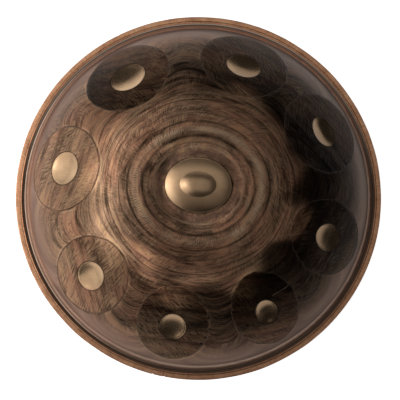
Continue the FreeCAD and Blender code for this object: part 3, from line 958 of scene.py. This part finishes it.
def band_metal():
    """Copper-coloured edging, brushed across, with painted shade in its crease, painted light and
    shade round it, and darker on its outer corner.
    """
    paint = Paint("copper_edging")
    flow = paint.attribute("flow")
    radius = paint.attribute("radius")
    hatch = paint.noise(flow, 1.1, 9, detail=2)
    fine = paint.noise(flow, 0.5, 5, detail=1)
    stain = paint.noise(flow, 22, 9, detail=4, roughness=0.65)
    colour = paint.ramp(stain, EDGING)
    strokes = paint.step(hatch, 0.5, 0.66)
    colour = paint.mix(paint.times(strokes, 0.42), colour, EDGING_STROKE)
    scratches = paint.step(fine, 0.5, 0.7)
    colour = paint.mix(paint.times(scratches, 0.3), colour, EDGING_SCRATCH)
    # Painted shade in the crease beside the bead.
    crease = paint.line(radius, EDGING_CREASE, 0.8)
    colour = paint.mix(paint.times(crease, 0.85), colour, DARK)
    # Painted light and shade round the band.
    colour = paint.dimmed(colour, paint.attribute("wear"))
    corner = paint.step(radius, *EDGING_EDGE)
    colour = paint.mix(paint.times(corner, 0.6), colour, EDGING_CORNER)
    paint.surface.inputs["Metallic"].default_value = 1.0
    relief = paint.plus(hatch, paint.times(fine, 0.4))
    return paint.finish(colour, paint.span(hatch, 0.3, 0.7, 0.36, 0.52), relief, 0.25 * MM, 0.9)


def adhesive():
    """Dark cured glue with a slightly uneven surface."""
    paint = Paint("seam_glue")
    position = paint.add("ShaderNodeTexCoord", {}, "Object")
    uneven = paint.add("ShaderNodeTexNoise", {"Vector": position, "Scale": 160.0, "Detail": 4.0})
    colour = paint.ramp(uneven, GLUE)
    return paint.finish(colour, paint.span(uneven, 0.3, 0.7, 0.45, 0.65), uneven, 0.2 * MM)


# ---------------------------------------------------------------- pieces

def show(piece, node, metal):
    """Shows a piece in place of its CAD node, in that metal."""
    piece.data.materials.append(metal)
    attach(piece, "root")
    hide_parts(node)


show(make_top_shell(), "top_shell", shell_metal("upper_steel"))
show(make_bottom_shell(), "bottom_shell", shell_metal("lower_steel"))
show(make_band(), "rim_band", band_metal())
glue = frame["nodes"]["seam_adhesive"].data
glue.materials.clear()
glue.materials.append(adhesive())


# ---------------------------------------------------------------- stage, light and camera

FLOOR_HALF = 150.0              # metres
LIGHT_AIM = (0, 0, 0.15)
LIGHTS = [                      # name, place, size in metres and power
    ("key", (-1.31, -0.12, 0.85), (2.6, 1.4), 14.2),
    ("key_middle", (-1.13, 0.03, 1.10), (0.7, 0.5), 3),
    ("overhead", (0, 0.05, 1.9), (3.0, 2.9), 9),
]
ROOM_GREY = 0.035
CAMERA_ELEVATION = math.radians(83.5)
CAMERA_DISTANCE = 1.4           # metres
CAMERA_LENS = 86.9
CAMERA_AIM = (0.0023, -0.0077)  # right and up in the view, in metres from the middle of the seam


def make_floor():
    mesh = bpy.data.meshes.new("floor")
    half = FLOOR_HALF
    corners = [(-half, -half, 0), (half, -half, 0), (half, half, 0), (-half, half, 0)]
    mesh.from_pydata(corners, [], [(0, 1, 2, 3)])
    floor = bpy.data.objects.new("floor", mesh)
    bpy.context.scene.collection.objects.link(floor)
    paint = Paint("floor_paint")
    paint.surface.inputs["Base Color"].default_value = (0.8, 0.8, 0.8, 1)
    paint.surface.inputs["Roughness"].default_value = 0.9
    paint.surface.inputs["Specular IOR Level"].default_value = 0.1
    paint.surface.inputs["Emission Color"].default_value = (1, 1, 1, 1)
    paint.surface.inputs["Emission Strength"].default_value = 0.9
    mesh.materials.append(paint.material)


def add_panel(name, place, size, power):
    """A soft rectangular light, turned towards the object."""
    light = bpy.data.lights.new(name, "AREA")
    light.shape = "RECTANGLE"
    light.size, light.size_y = size
    light.energy = power
    panel = bpy.data.objects.new(name, light)
    panel.location = place
    aim = Vector(LIGHT_AIM) - Vector(place)
    panel.rotation_euler = aim.to_track_quat("-Z", "Y").to_euler()
    bpy.context.scene.collection.objects.link(panel)


def make_world():
    world = bpy.data.worlds.new("room")
    world.use_nodes = True
    back = world.node_tree.nodes["Background"]
    back.inputs["Color"].default_value = (ROOM_GREY, ROOM_GREY, ROOM_GREY, 1)
    back.inputs["Strength"].default_value = 1
    bpy.context.scene.world = world


def make_camera():
    """Almost straight above, leaning a little towards the player."""
    back = Vector((0, -math.cos(CAMERA_ELEVATION), math.sin(CAMERA_ELEVATION)))
    up = Vector((0, math.sin(CAMERA_ELEVATION), math.cos(CAMERA_ELEVATION)))
    right, above = CAMERA_AIM
    aim = Vector((right, 0, (TOP_SEAM + BOTTOM_SEAM) / 2 * MM)) + up * above
    camera = bpy.data.objects.new("camera", bpy.data.cameras.new("camera"))
    camera.data.lens = CAMERA_LENS
    camera.data.sensor_width = 36
    camera.location = aim + back * CAMERA_DISTANCE
    camera.rotation_euler = (-back).to_track_quat("-Z", "Y").to_euler()
    bpy.context.scene.collection.objects.link(camera)
    bpy.context.scene.camera = camera


make_floor()
make_world()
for light in LIGHTS:
    add_panel(*light)
make_camera()
bpy.context.scene.view_settings.view_transform = "Standard"
